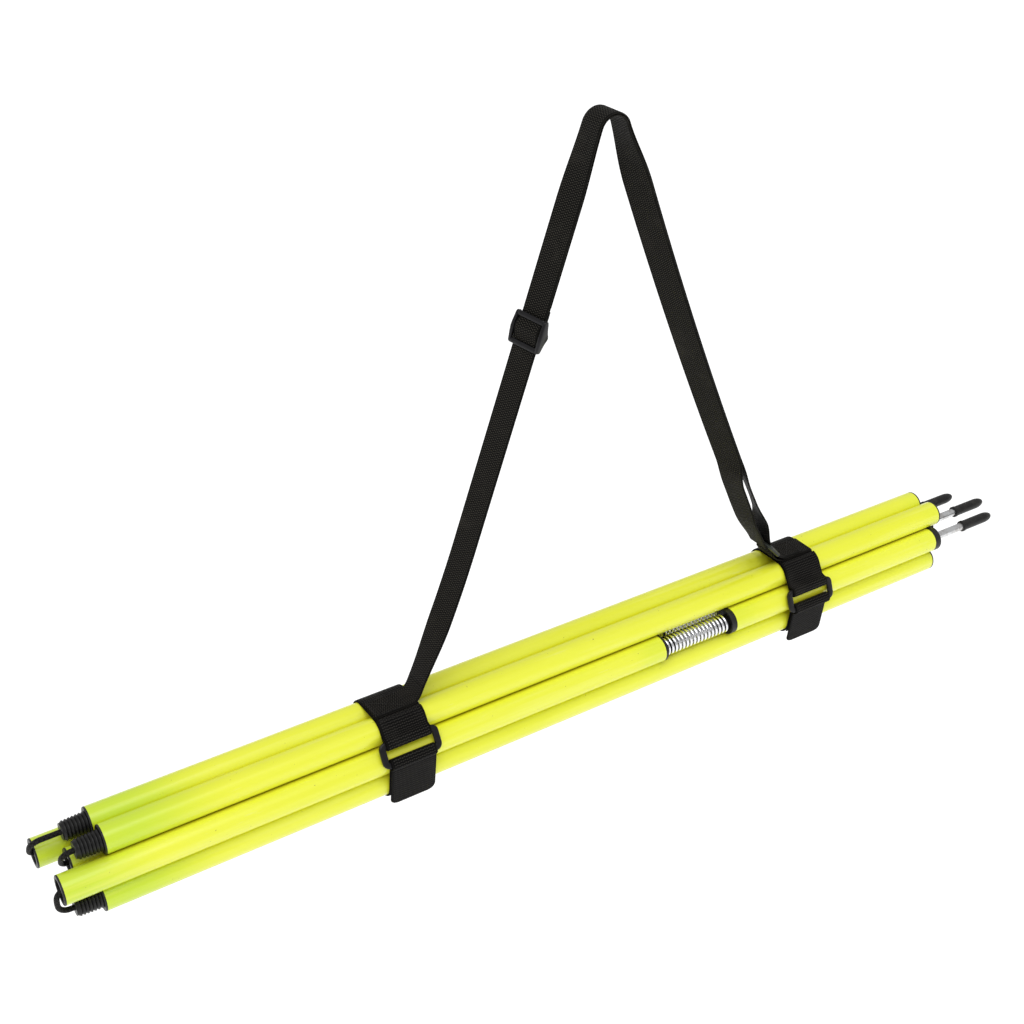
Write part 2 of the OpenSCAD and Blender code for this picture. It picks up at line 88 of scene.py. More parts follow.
# ------------------------------------------------------------------ materials
class Look:
    """A Principled material, with short calls for the nodes that drive it."""

    def __init__(self, name, **sockets):
        self.m = bpy.data.materials.new(name)
        self.m.use_nodes = True
        self.t = self.m.node_tree
        self.b = self.t.nodes["Principled BSDF"]
        for key, value in sockets.items():
            self.b.inputs[key.replace("_", " ")].default_value = value

    def node(self, kind, inputs=(), **props):
        n = self.t.nodes.new("ShaderNode" + kind)
        for k, v in props.items():
            setattr(n, k, v)
        for k, v in dict(inputs).items():
            self.put(n.inputs[k], v)
        return n

    def put(self, socket, v):
        if isinstance(v, bpy.types.NodeSocket):
            self.t.links.new(v, socket)
        else:
            socket.default_value = v

    def math(self, op, a, b=0.0, c=0.0, clamp=False):
        return self.node("Math", {0: a, 1: b, 2: c}, operation=op, use_clamp=clamp).outputs[0]

    def add(self, a, b): return self.math("ADD", a, b)
    def sub(self, a, b): return self.math("SUBTRACT", a, b)
    def mul(self, a, b): return self.math("MULTIPLY", a, b)

    def span(self, x, a, b, c=0.0, d=1.0):
        n = self.node("MapRange", {"Value": x, "From Min": a, "From Max": b, "To Min": c, "To Max": d})
        n.interpolation_type = "SMOOTHSTEP"
        return n.outputs["Result"]

    def uv(self):
        n = self.node("UVMap", uv_map="UVMap")
        s = self.node("SeparateXYZ", {0: n.outputs[0]})
        return s.outputs[0], s.outputs[1]

    def place(self, kind="Object", scale=(1, 1, 1)):
        n = self.node("TexCoord")
        return self.node("Mapping", {"Vector": n.outputs[kind], "Scale": scale}).outputs[0]

    def noise(self, at, scale, detail=3.0, rough=0.55):
        n = self.node("TexNoise", {"Vector": at, "Scale": scale, "Detail": detail, "Roughness": rough})
        return n.outputs["Fac"]

    def wave(self, x, period):
        """0 to 1 and back over each period of x."""
        return self.math("MULTIPLY_ADD", self.math("SINE", self.mul(x, 2 * math.pi / period)), 0.5, 0.5)

    def mix(self, f, a, b, kind="MIX"):
        n = self.node("Mix", data_type="RGBA", blend_type=kind, clamp_factor=True)
        self.put(n.inputs["Factor"], f)
        for s, v in zip([i for i in n.inputs if i.type == "RGBA"], (a, b)):
            self.put(s, (*v, 1.0) if isinstance(v, tuple) and len(v) == 3 else v)
        return [o for o in n.outputs if o.type == "RGBA"][0]

    def colour(self, v): self.put(self.b.inputs["Base Color"], v)
    def rough(self, v): self.put(self.b.inputs["Roughness"], v)

    def bump(self, height, distance, strength=1.0):
        n = self.node("Bump", {"Height": height, "Distance": distance, "Strength": strength})
        self.put(self.b.inputs["Normal"], n.outputs[0])


def tube_look(name, length, left_end, right_end):
    """Fluorescent plastic tube: lime near its ends, with drawn lines and scuffs, painted gloss streaks,
    and painted shade where parts lie close.
    For each end: where the lime starts to fade, where it's gone, and how strong it is."""
    k = Look(name, IOR=1.48, Coat_Weight=0.45, Coat_Roughness=0.2)
    gx = k.node("SeparateXYZ", {0: k.node("TexCoord").outputs["Generated"]}).outputs[0]
    x = k.mul(gx, length)
    from_right = k.sub(length, x)
    soft = k.noise(k.place(), 45, 2)
    wobble = k.mul(k.sub(soft, 0.5), 0.012)
    left = k.span(k.add(x, wobble), *left_end[:2], left_end[2], 0)
    right = k.span(k.add(from_right, wobble), *right_end[:2], right_end[2], 0)
    lines = k.noise(k.place(scale=(3, 900, 900)), 1, 3)
    patches = k.noise(k.place(scale=(4, 30, 30)), 1, 4, 0.6)
    specks = k.span(k.noise(k.place(scale=(260, 420, 420)), 1, 2), 0.745, 0.765)
    scrapes = k.noise(k.place(scale=(35, 420, 420)), 1, 4, 0.7)
    rub = k.mul(k.span(scrapes, 0.60, 0.70), k.span(patches, 0.5, 0.62))
    body = k.mix(k.span(patches, 0.3, 0.7), (0.830, 0.865, 0.018), (0.865, 0.900, 0.042))
    body = k.mix(k.math("MAXIMUM", left, right), body, (0.580, 0.770, 0.020))
    body = k.mix(k.mul(lines, 0.16), body, (0.93, 0.95, 0.22))
    body = k.mix(k.mul(rub, 0.22), body, (0.93, 0.95, 0.42))
    body = k.mix(k.mul(specks, 0.6), body, (0.20, 0.17, 0.03))
    # painted shade: the tube's colour turns orange-brown where other parts lie close (ambient occlusion)
    near = k.node("AmbientOcclusion", {"Distance": 0.012}, samples=8).outputs["AO"]
    # painted highlight: long soft pale streaks of gloss along the tube
    painted_gloss_streak = k.noise(k.place(scale=(5, 130, 130)), 1, 2)
    body = k.mix(k.span(painted_gloss_streak, 0.55, 0.75, 0.0, 0.4), body, (0.92, 0.945, 0.17))
    body = k.mix(k.span(near, 0.12, 0.60, 0.62, 0.0), body, (0.62, 0.52, 0.0))
    k.colour(body)
    k.rough(k.math("ADD", k.mul(lines, 0.10), k.math("MULTIPLY_ADD", rub, 0.12, 0.25)))
    k.bump(k.add(k.mul(lines, 0.6), k.mul(rub, 0.5)), 0.00006, 0.5)
    return k.m


def plastic_look(name, colour, sheen=0.0, rough=0.42, grain=1400.0):
    """Moulded plastic with a fine grain, faint flow marks, and edges painted paler, both as rubbing and as
    a painted highlight.
    """
    k = Look(name, IOR=1.5, Specular_IOR_Level=0.26, Coat_Weight=0.08, Coat_Roughness=0.18,
             Sheen_Weight=sheen)
    fine = k.noise(k.place(), grain, 3)
    flow = k.noise(k.place(scale=(60, 160, 160)), 1, 4, 0.6)
    # edges rubbed paler, and also a painted highlight: sharp edges take a pale colour
    rubbed_and_highlit_edges = k.span(k.node("NewGeometry").outputs["Pointiness"], 0.51, 0.60)
    pale = tuple(min(1.0, c * 3.0 + 0.008) for c in colour)
    body = k.mix(k.span(flow, 0.35, 0.7), colour, tuple(c * 1.45 for c in colour))
    body = k.mix(k.mul(rubbed_and_highlit_edges, 0.7), body, pale)
    k.colour(body)
    k.rough(k.math("ADD", k.mul(flow, 0.16), k.math("MULTIPLY_ADD", fine, 0.10, rough - 0.12)))
    k.bump(k.add(k.mul(fine, 0.5), k.mul(flow, 0.35)), 0.00009, 0.55)
    return k.m


def rubber_look():
    """Soft rubber with dust in its grain."""
    k = Look("rubber_cap", IOR=1.52, Sheen_Weight=0.04, Sheen_Roughness=0.5, Specular_IOR_Level=0.25)
    fine = k.noise(k.place(), 2200, 2)
    dust = k.noise(k.place(), 160, 5, 0.65)
    k.colour(k.mix(k.span(dust, 0.45, 0.75), (0.008, 0.008, 0.008), (0.026, 0.024, 0.021)))
    k.rough(k.math("MULTIPLY_ADD", dust, 0.2, 0.34))
    k.bump(k.add(k.mul(fine, 0.4), k.mul(dust, 0.5)), 0.00012, 0.5)
    return k.m


def spring_look():
    """Plated wire: bright outside, with painted shade dark between the turns."""
    k = Look("spring_chrome", Metallic=1.0)
    # painted shade: the wire's colour goes dark where the turns lie close together (ambient occlusion)
    gap = k.node("AmbientOcclusion", {"Distance": 0.005}, samples=8).outputs["AO"]
    draw = k.noise(k.place(scale=(60, 900, 900)), 1, 3)
    tint = k.noise(k.place(), 110, 3)
    bright = k.mix(tint, (0.80, 0.81, 0.84), (0.97, 0.97, 0.98))
    k.colour(k.mix(k.span(gap, 0.25, 0.85), (0.05, 0.05, 0.055), bright))
    k.rough(k.math("MULTIPLY_ADD", draw, 0.14, 0.06))
    k.bump(draw, 0.00003, 0.4)
    return k.m


def steel_look():
    """Turned and zinc-plated steel: fine rings along X, with dull stains."""
    k = Look("spike_steel", Metallic=1.0)
    along = k.node("SeparateXYZ", {0: k.place()}).outputs[0]
    turned = k.wave(k.add(along, k.mul(k.noise(k.place(), 300, 2), 0.0003)), 0.00045)
    stain = k.noise(k.place(), 190, 5, 0.65)
    k.colour(k.mix(k.span(stain, 0.42, 0.7), (0.74, 0.75, 0.76), (0.50, 0.48, 0.46)))
    k.rough(k.math("ADD", k.mul(turned, 0.10), k.math("MULTIPLY_ADD", stain, 0.22, 0.16)))
    k.bump(turned, 0.00002, 0.5)
    return k.m


def webbing_look(name, dark, light, column, pick, ribs=0.3, edge=HALF):
    """Woven tape. UV is metres across and along. It has columns of short picks, each column half a pick
    behind its neighbour. ribs is the share of straight ribs across, and edge is half the tape's width."""
    k = Look(name, IOR=1.48, Sheen_Weight=0.01, Sheen_Roughness=0.4, Specular_IOR_Level=0.09)
    u, v = k.uv()
    drift = k.mul(k.sub(k.noise(k.place(), 260, 2), 0.5), column * 0.06)
    cu = k.math("DIVIDE", k.add(u, drift), column)
    parity = k.math("MODULO", k.math("FLOOR", k.add(cu, 200.0)), 2.0)
    cv = k.add(k.math("DIVIDE", v, pick), k.mul(parity, 0.5))
    across = k.math("SINE", k.mul(k.math("FRACT", k.add(cu, 200.0)), math.pi))
    along = k.math("SINE", k.mul(k.math("FRACT", k.add(cv, 900.0)), math.pi))
    grain = k.mul(k.math("POWER", across, 0.6), k.math("POWER", along, 0.7))
    rib = k.wave(v, pick)
    height = k.add(k.mul(grain, 1 - ribs), k.mul(rib, ribs))
    hem = k.span(k.math("ABSOLUTE", u), edge - 0.0022, edge - 0.0016)
    cord = k.mul(k.wave(k.math("ABSOLUTE", u), 0.0011), k.wave(k.add(v, u), pick * 0.5))
    height = k.add(k.mul(height, k.sub(1.0, hem)), k.mul(cord, hem))
    fuzz = k.noise(k.place(), 2600, 2)
    fade = k.noise(k.place(), 38, 4, 0.6)
    # painted highlight: the raised yarns take the light colour, the hollows between them the dark one
    body = k.mix(k.span(height, 0.52, 1.0), dark, light)
    body = k.mix(k.span(fade, 0.5, 0.85, 0.0, 0.22), body, tuple(c * 1.3 for c in light))
    lint = k.span(k.noise(k.place(), 700, 2), 0.78, 0.82)
    body = k.mix(k.mul(lint, 0.25), body, (0.10, 0.09, 0.075))
    k.colour(body)
    k.rough(k.math("ADD", k.mul(fuzz, 0.14), k.math("MULTIPLY_ADD", height, -0.22, 0.66)))
    k.bump(k.add(height, k.mul(fuzz, 0.12)), 0.00042, 0.9)
    return k.m


def hook_look():
    """Hook tape: rows of short stiff hooks."""
    k = Look("hook_tape", IOR=1.5, Sheen_Weight=0.03, Sheen_Roughness=0.35, Specular_IOR_Level=0.2)
    u, v = k.uv()
    rows = k.mul(k.wave(u, 0.0014), k.wave(k.add(v, k.mul(k.noise(k.place(), 500, 2), 0.0006)), 0.0012))
    k.colour(k.mix(k.span(rows, 0.3, 0.8), (0.003, 0.003, 0.003), (0.022, 0.020, 0.019)))
    k.rough(k.math("MULTIPLY_ADD", rows, -0.2, 0.7))
    k.bump(rows, 0.0004, 1.0)
    return k.m


def cord_look():
    """Braided sleeve: two sets of strands crossing round the cord. UV is metres round and along."""
    k = Look("braided_cord", IOR=1.48, Sheen_Weight=0.02, Sheen_Roughness=0.4, Specular_IOR_Level=0.15)
    u, v = k.uv()
    a = k.wave(k.add(u, v), 0.0018)
    b = k.wave(k.sub(u, v), 0.0018)
    h = k.math("MAXIMUM", k.mul(a, k.wave(k.sub(u, v), 0.0036)), k.mul(b, k.wave(k.add(u, v), 0.0036)))
    fuzz = k.noise(k.place(), 2200, 2)
    k.colour(k.mix(k.span(h, 0.15, 0.8), (0.002, 0.002, 0.002), (0.020, 0.019, 0.018)))
    k.rough(k.math("MULTIPLY_ADD", fuzz, 0.15, 0.5))
    k.bump(k.add(h, k.mul(fuzz, 0.1)), 0.0003, 0.9)
    return k.m


def thread_look():
    """Twisted sewing thread."""
    k = Look("thread", IOR=1.48, Sheen_Weight=0.05, Specular_IOR_Level=0.2)
    twist = k.noise(k.place(), 3000, 1)
    k.colour(k.mix(twist, (0.004, 0.0036, 0.003), (0.020, 0.018, 0.016)))
    k.rough(k.math("MULTIPLY_ADD", twist, 0.2, 0.4))
    k.bump(twist, 0.0001, 0.6)
    return k.m


# each tape's dark colour, light colour (a painted highlight on its raised yarns), column width, pick
# length and share of ribs
strap_mat = webbing_look("strap_webbing", (0.0007, 0.0006, 0.0005), (0.052, 0.047, 0.038),
                         0.0018, 0.0021, 0.2)
inner_mat = webbing_look("inner_webbing", (0.0008, 0.0007, 0.0006), (0.026, 0.022, 0.018),
                         0.0019, 0.0022, 0.6)
band_mat = webbing_look("band_webbing", (0.0008, 0.0007, 0.0006), (0.040, 0.037, 0.032),
                        0.0020, 0.0023, 0.45, BAND_W / 2)
tail_mat = webbing_look("tail_webbing", (0.0009, 0.0008, 0.0007), (0.026, 0.024, 0.021),
                        0.0013, 0.0024, 0.1, BAND_W / 2)
hook_mat, cord_mat, thread_mat = hook_look(), cord_look(), thread_look()
spring_mat, steel_mat, rubber_mat = spring_look(), steel_look(), rubber_look()
black_mat = plastic_look("black_plastic", (0.0050, 0.0049, 0.0048))
buckle_mat = plastic_look("buckle_plastic", (0.0040, 0.0036, 0.0046), 0.01, 0.30, 1100)
ring_mat = plastic_look("ring_paint", (0.020, 0.023, 0.019), 0.0, 0.34, 900)
anchor_mat = plastic_look("anchor_plastic", (0.018, 0.017, 0.016), 0.0, 0.5)

TUBE_ENDS = {                                          # where each kind of tube turns lime, left and right
    "upper_tube": ((0.015, 0.110, 1.0), (0.004, 0.030, 0.15)),
    "lower_tube": ((0.010, 0.085, 0.9), (0.010, 0.040, 0.35)),
    "ground_tube": ((0.006, 0.040, 0.25), (0.010, 0.034, 0.15))}
BLACK_PARTS = ("upper_end_cap", "ribbed_plug", "socket_ring", "spring_ferrule_up", "spring_ferrule_low",
               "ground_collar")


def dress(node, mat):
    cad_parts[node].data.materials[0] = mat


for k in (1, 2, 3):
    for kind, (left, right) in TUBE_ENDS.items():
        lo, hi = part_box(f"{kind}_{k}")
        name = f"yellow_{kind}"
        dress(f"{kind}_{k}", bpy.data.materials.get(name) or tube_look(name, hi.x - lo.x, left, right))
    for kind in BLACK_PARTS:
        dress(f"{kind}_{k}", black_mat)
    dress(f"cord_anchor_{k}", anchor_mat)
    dress(f"spike_{k}", steel_mat)
    dress(f"spike_cap_{k}", rubber_mat)
dress("strap_ring", ring_mat)


# ------------------------------------------------------------------ mesh helpers
def new_piece(name, verts, faces, uvs, mat, body=None, slot=None, stands_for=()):
    """A mesh piece. uvs has one pair for each corner of each face."""
    me = bpy.data.meshes.new(name)
    me.from_pydata([tuple(v) for v in verts], [], faces)
    layer = me.uv_layers.new(name="UVMap")
    layer.data.foreach_set("uv", [c for pair in uvs for c in pair])
    me.polygons.foreach_set("use_smooth", [True] * len(me.polygons))
    me.materials.append(mat)
    me.update()
    ob = bpy.data.objects.new(name, me)
    scene.collection.objects.link(ob)
    if body:
        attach(ob, body)
    if stands_for:
        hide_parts(*stands_for)
    return ob


def tangents(points, closed=False):
    """The direction of travel at each point."""
    n = len(points)
    out = []
    for i in range(n):
        a = points[(i - 1) % n] if closed or i else points[0]
        b = points[(i + 1) % n] if closed or i < n - 1 else points[-1]
        out.append((b - a).normalized())
    return out


def loft(rings, closed, ring_uv, vs, caps=True):
    """Faces and UVs for rings of points in order. ring_uv is u at each point of a ring, with one more
    for its closing edge, and vs is v at each ring."""
    m, n = len(rings[0]), len(rings)
    verts = [p for r in rings for p in r]
    faces, uvs = [], []
    for i in range(n if closed else n - 1):
        j = (i + 1) % n
        v0, v1 = vs[i], vs[i + 1]
        for a in range(m):
            b = (a + 1) % m
            faces.append((i * m + a, i * m + b, j * m + b, j * m + a))
            uvs += [(ring_uv[a], v0), (ring_uv[a + 1], v0), (ring_uv[a + 1], v1), (ring_uv[a], v1)]
    if caps and not closed:
        for ring, flip in ((0, True), (n - 1, False)):
            order = list(range(m))
            if flip:
                order.reverse()
            faces.append(tuple(ring * m + a for a in order))
            uvs += [(ring_uv[a], vs[ring]) for a in order]
    return verts, faces, uvs


def lengths(points, closed=False):
    """How far along each point lies."""
    out = [0.0]
    n = len(points)
    for i in range(n if closed else n - 1):
        out.append(out[-1] + (points[(i + 1) % n] - points[i]).length)
    return out


def ribbon(stations, half, thick, v0=0.0, side=1.0, closed=False, across=12, tip=0.0):
    """A woven strip: stations are (centre, direction across). Its edges are rounded, and tip is the
    radius of its far corners."""
    pts = [s[0] for s in stations]
    us = [half * math.sin(math.pi / 2 * (2 * i / across - 1)) for i in range(across + 1)]
    edge = thick * 0.75
    rings = []
    vs = [v0 + s for s in lengths(pts, closed)]
    for (p, w), t, v in zip(stations, tangents(pts, closed), vs):
        short = max(0.0, tip - (vs[-1] - v))
        w = w * (1 - (tip - math.sqrt(max(0.0, tip * tip - short * short))) / half)
        n = t.cross(w).normalized() * side
        face, back = [], []
        for u in us:
            inner = max(0.0, abs(u) - (half - edge)) / edge
            h = thick / 2 * math.sqrt(max(0.04, 1 - inner * inner))
            face.append(p + w * u + n * h)
            back.append(p + w * u - n * h)
        rings.append(face + back[::-1])
    ring_uv = us + us[::-1] + [us[0]]
    return loft(rings, closed, ring_uv, vs)


SQUARE = 0.55                                          # below 1, an oval tube's section nears a rectangle


def tube(points, radius, sides=12, closed=False, v0=0.0, squash=None, caps=True):
    """A round tube along points, or an oval one where squash is (across, out, out direction)."""
    ts = tangents(points, closed)
    ref = Vector((0, 0, 1)) if abs(ts[0].z) < 0.9 else Vector((1, 0, 0))
    circle = [(math.cos(2 * math.pi * i / sides), math.sin(2 * math.pi * i / sides)) for i in range(sides)]
    rings = []
    a = ts[0].cross(ref).normalized()
    for p, t in zip(points, ts):
        if squash:
            ra, rb, out = squash
            a = t.cross(out).normalized()
            rings.append([p + a * ra * math.copysign(abs(c) ** SQUARE, c)
                          + out * rb * math.copysign(abs(s) ** SQUARE, s) for c, s in circle])
        else:
            a = (a - t * a.dot(t)).normalized()
            b = t.cross(a)
            rings.append([p + (a * c + b * s) * radius for c, s in circle])
    r = radius or squash[0]
    ring_uv = [2 * math.pi * r * i / sides for i in range(sides + 1)]
    vs = [v0 + s for s in lengths(points, closed)]
    return loft(rings, closed, ring_uv, vs, caps)


def join(parts):
    """Several meshes as one."""
    verts, faces, uvs = [], [], []
    for v, f, u in parts:
        base = len(verts)
        verts += v
        faces += [tuple(i + base for i in q) for q in f]
        uvs += u
    return verts, faces, uvs


def catmull(points, steps):
    """A smooth curve through the points, with steps parts between each two."""
    out = []
    n = len(points)
    for i in range(n - 1):
        a, b, c, d = points[max(0, i - 1)], points[i], points[i + 1], points[min(n - 1, i + 2)]
        for j in range(steps):
            t = j / steps
            out.append(0.5 * (2 * b + t * (c - a) + t * t * (2 * a - 5 * b + 4 * c - d)
                              + t * t * t * (3 * b - a - 3 * c + d)))
    out.append(points[-1])
    return out


def resample(points, step):
    """Points about step apart along a polyline, with its ends kept."""
    ls = lengths(points)
    n = max(2, round(ls[-1] / step))
    out, i = [], 0
    for k in range(n + 1):
        s = ls[-1] * k / n
        while i < len(points) - 2 and ls[i + 1] < s:
            i += 1
        d = ls[i + 1] - ls[i]
        out.append(points[i].lerp(points[i + 1], (s - ls[i]) / d if d > 1e-9 else 0))
    return out


def seam(samples, stitch=0.0028, gap=0.0008, r=0.00028):
    """Thread along (point, out) samples: one short rounded bead for each stitch."""
    pts, outs = [s[0] for s in samples], [s[1] for s in samples]
    ls = lengths(pts)
    parts, s, i = [], gap, 0

    def at(x):
        j = 0
        while j < len(pts) - 2 and ls[j + 1] < x:
            j += 1
        d = ls[j + 1] - ls[j]
        f = (x - ls[j]) / d if d > 1e-9 else 0
        return pts[j].lerp(pts[j + 1], f), outs[j].lerp(outs[j + 1], f).normalized()

    while s + stitch < ls[-1]:
        line = []
        for f in (0, 0.12, 0.5, 0.88, 1):
            p, o = at(s + stitch * f)
            line.append(p + o * (r * (0.75 if 0.05 < f < 0.95 else -0.6)))
        parts.append(tube(line, r, 6))
        s += stitch + gap
    return parts


# ------------------------------------------------------------------ tether cords
CORD_R = 0.0023
TURN = (-0.5098, -0.4928, -0.5053)                     # where each bend starts and ends
FROM = (-0.452, -0.450, -0.460)
TO = (-0.462, -0.442, -0.457)
BEND = 0.0094                                          # radius of a bend's two corners
PITCH = (UP[0] - UP[1]).length
for k in range(3):
    turned = [math.radians(22.5 * i) for i in range(9)]
    route = [(FROM[k] + (TURN[k] - FROM[k]) * i / 5, 0) for i in range(5)]
    route += [(TURN[k] - BEND * math.sin(a), BEND * (1 - math.cos(a)) / PITCH) for a in turned[:5]]
    route += [(TURN[k] - BEND * math.sin(a), 1 - BEND * (1 + math.cos(a)) / PITCH) for a in turned[4:]]
    route += [(TURN[k] + (TO[k] - TURN[k]) * i / 5, 1) for i in range(1, 6)]
    pts = []
    for x, share in route:
        yz = UP[k].lerp(LOW[k], share)
        pts.append(Vector((x, yz.x, yz.y)))
    line = catmull(pts, 4)
    mesh = tube(line, CORD_R, 16)
    piece = new_piece(f"tether_{k + 1}", *mesh, cord_mat, f"pole_{k + 1}", "elastic_cord",
                      [f"tether_cord_{k + 1}"])


# ------------------------------------------------------------------ springs
WIRE_R, TURNS, PER_TURN = 0.00145, 17, 36
for k in (1, 2, 3):
    lo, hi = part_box(f"ground_spring_{k}")
    y, z = LOW[k - 1]
    coil_r = (hi.y - lo.y) / 2 - WIRE_R
    x0, x1 = lo.x + WIRE_R, hi.x - WIRE_R
    n = TURNS * PER_TURN
    line = []
    for i in range(n + 1):
        t = i / n
        a = 2 * math.pi * TURNS * t
        line.append(Vector((x0 + (x1 - x0) * t, y + coil_r * math.cos(a), z + coil_r * math.sin(a))))
    new_piece(f"spring_{k}", *tube(line, WIRE_R, 14), spring_mat, f"pole_{k}", "spring_steel",
              [f"ground_spring_{k}"])


# ------------------------------------------------------------------ bands
MID = (UP[1] + LOW[2]) / 2                             # between the two front tubes
SLOPE = (UP[1] - LOW[2]).normalized()                  # up the front
OUT = Vector((-SLOPE.y, SLOPE.x))                      # away from the bundle
LOOP_BAR, LOOP_T = 0.006, 0.0035                       # width and thickness of a loop's bars
LOOP_W, LOOP_H = BAND_W + 0.013, 0.023                 # a loop's size, over all
LOOP_O = BAND_R + WEB + TOUCH + LOOP_T / 2             # the loop's middle, out from the tubes' axes
BAR_AT = (LOOP_H - LOOP_BAR) / 2                       # a bar's middle, from the loop's middle
FLAT = (UP[1] - LOW[2]).length / 2                     # half the band's flat stretch on the front
WRAP = BAND_R + WEB                                    # a band's outer radius round one tube
DOWN = (UP[2] - LOW[2]).normalized()                   # down the front below the middle row
FACE = Vector((DOWN.y, -DOWN.x))                       # out of it
DROP = {"left": 0.007, "right": 0.015}                 # each loop's middle, down the front from MID


def unit(a):
    return Vector((math.cos(math.radians(a)), math.sin(math.radians(a))))


def at_loop(side, a, o):
    """A point by a loop: a up the front from its middle, o out from the tubes' axes."""
    d = DROP[side]
    if d < FLAT:
        return MID + SLOPE * (a - d) + OUT * o
    q = (d - FLAT) / WRAP
    c, s = math.cos(q), math.sin(q)
    up = Vector((SLOPE.x * c - SLOPE.y * s, SLOPE.x * s + SLOPE.y * c))
    return LOW[2] + up * a + Vector((-up.y, up.x)) * o


def out_of_loop(side):
    return to_3d(0, at_loop(side, 0, 1) - at_loop(side, 0, 0))


def turn(centre, r, a1, a2, step=7.0):
    """Points round a centre from direction a1 to a2, in degrees."""
    n = max(1, round(abs(a2 - a1) / step))
    return [centre + r * Vector((math.cos(math.radians(a1 + (a2 - a1) * i / n)),
                                 math.sin(math.radians(a1 + (a2 - a1) * i / n)))) for i in range(n + 1)]


FRONT = math.degrees(math.atan2(OUT.y, OUT.x))         # direction out of the front's flat
# the turn from that flat to the next one down
NOOK = (math.degrees(math.atan2(FACE.y, FACE.x)) - FRONT) % 360
CORNER_END = FLAT + math.radians(NOOK) * WRAP          # how far down the front that turn ends


def wrap_at(d, r):
    """A point d down the front from MID, r out from the tubes' axes."""
    if d < -FLAT:
        return UP[1] + r * unit(FRONT - math.degrees((-FLAT - d) / WRAP))
    if d <= FLAT:
        return MID - SLOPE * d + OUT * r
    q = math.degrees((d - FLAT) / WRAP)
    if q <= NOOK:
        return LOW[2] + r * unit(FRONT + q)
    return LOW[2] + FACE * r + DOWN * (d - CORNER_END)


def round_bundle(r):
    """The wrap at radius r, clockwise from the front flat's top over the bundle and round below it."""
    ring = [UP[1], UP[0], LOW[0], UP[2], LOW[2]]
    out, a = [], FRONT
    for c, after in zip(ring, ring[1:]):
        d = after - c
        n = math.degrees(math.atan2(d.x, -d.y))        # direction to the left of travel
        while n > a:
            n -= 360
        while n < a - 360:
            n += 360
        out += turn(c, r, a, n)
        a = n
    return out


def fold(side, s):
    """The webbing's middle line round one bar of a loop, from the bundle's side to the top."""
    b = BAR_AT
    m, top = BAND_R + WEB / 2, LOOP_O + LOOP_T / 2 + TOUCH + WEB / 2
    near = b - LOOP_BAR / 2 - TOUCH - WEB / 2
    k = 0.0011                                         # size of the fold's corners
    line = [(near + k, m), (near + 0.3 * k, m + 0.3 * k), (near, m + k), (near, top - k),
            (near + 0.3 * k, top - 0.3 * k), (near + k, top), (b + LOOP_BAR / 2 - 0.0006, top)]
    return [at_loop(side, s * a, o) for a, o in line]


def to_3d(x, yz):
    return Vector((x, yz.x, yz.y))


PAD_T = 0.0012                                         # thickness of the hook tape
TAIL_R = BAND_R + WEB + PAD_T + 0.0002 + WEB / 2
ROOT = {"left": LOW[2] + TAIL_R * unit(182), "right": LOW[2] + TAIL_R * FACE + 0.0075 * DOWN}
ACROSS = Vector((1, 0, 0))
OVER_R = BAND_R + WEB + WEB / 2 + TOUCH / 2
SEWN_FROM = -0.0233                                    # where the band's sewn end starts, down the front


def strip_2d(line, x, half, thick, side, v0=0.0, step=0.0016, tip=0.0):
    pts = resample([to_3d(x, p) for p in line], step)
    return ribbon([(p, ACROSS) for p in pts], half, thick, v0, side, tip=tip)


def ladder_line(line, x, s, half, side):
    """Samples of a row of stitches across a strip, at s along it."""
    pts = resample([to_3d(x, p) for p in line], 0.0005)
    ts, ls = tangents(pts), lengths(pts)
    i = min(range(len(pts)), key=lambda j: abs(ls[j] - s))
    n = ts[i].cross(ACROSS).normalized() * side
    return [(pts[i] + ACROSS * u + n * WEB / 2, n) for u in (-half, 0, half)]


def band_line(side):
    """The band's middle line: its sewn end above the loop, round the bundle, to the tail's root."""
    d, mid_r = DROP[side], BAND_R + WEB / 2
    first = [wrap_at(SEWN_FROM + (d - 0.0147 - SEWN_FROM) * i / 12, OVER_R) for i in range(13)]
    if side == "right":
        last = [wrap_at(CORNER_END, mid_r)]
    else:
        last = [wrap_at(d + 0.0115 + (CORNER_END - d - 0.0115) * (1 - i / 4), mid_r) for i in range(4)]
    below = [at_loop(side, -0.0124, 0.0182), at_loop(side, -0.0132, 0.0166)]
    return (first + list(reversed(fold(side, 1))) + [wrap_at(d - 0.0118, mid_r)]
            + round_bundle(mid_r) + last
            + [wrap_at(d + 0.0115, mid_r)] + fold(side, -1) + below + [ROOT[side]])


def tail_line(side):
    """A tail's middle line, from its root down over the hook tape."""
    if side == "left":
        return [ROOT["left"], LOW[2] + TAIL_R * unit(184.5), LOW[2] + TAIL_R * FACE,
                UP[2] + TAIL_R * FACE + 0.014 * DOWN]
    return [ROOT["right"], UP[2] + TAIL_R * FACE + 0.019 * DOWN]


def pad_line(side):
    """The hook tape's middle line, down the front and round under the lowest tube."""
    r = BAND_R + WEB + PAD_T / 2 + TOUCH / 2
    top = LOW[2] + r * FACE + {"left": 0.001, "right": 0.006}[side] * DOWN
    return [top] + turn(UP[2], r, FRONT + NOOK, 229)


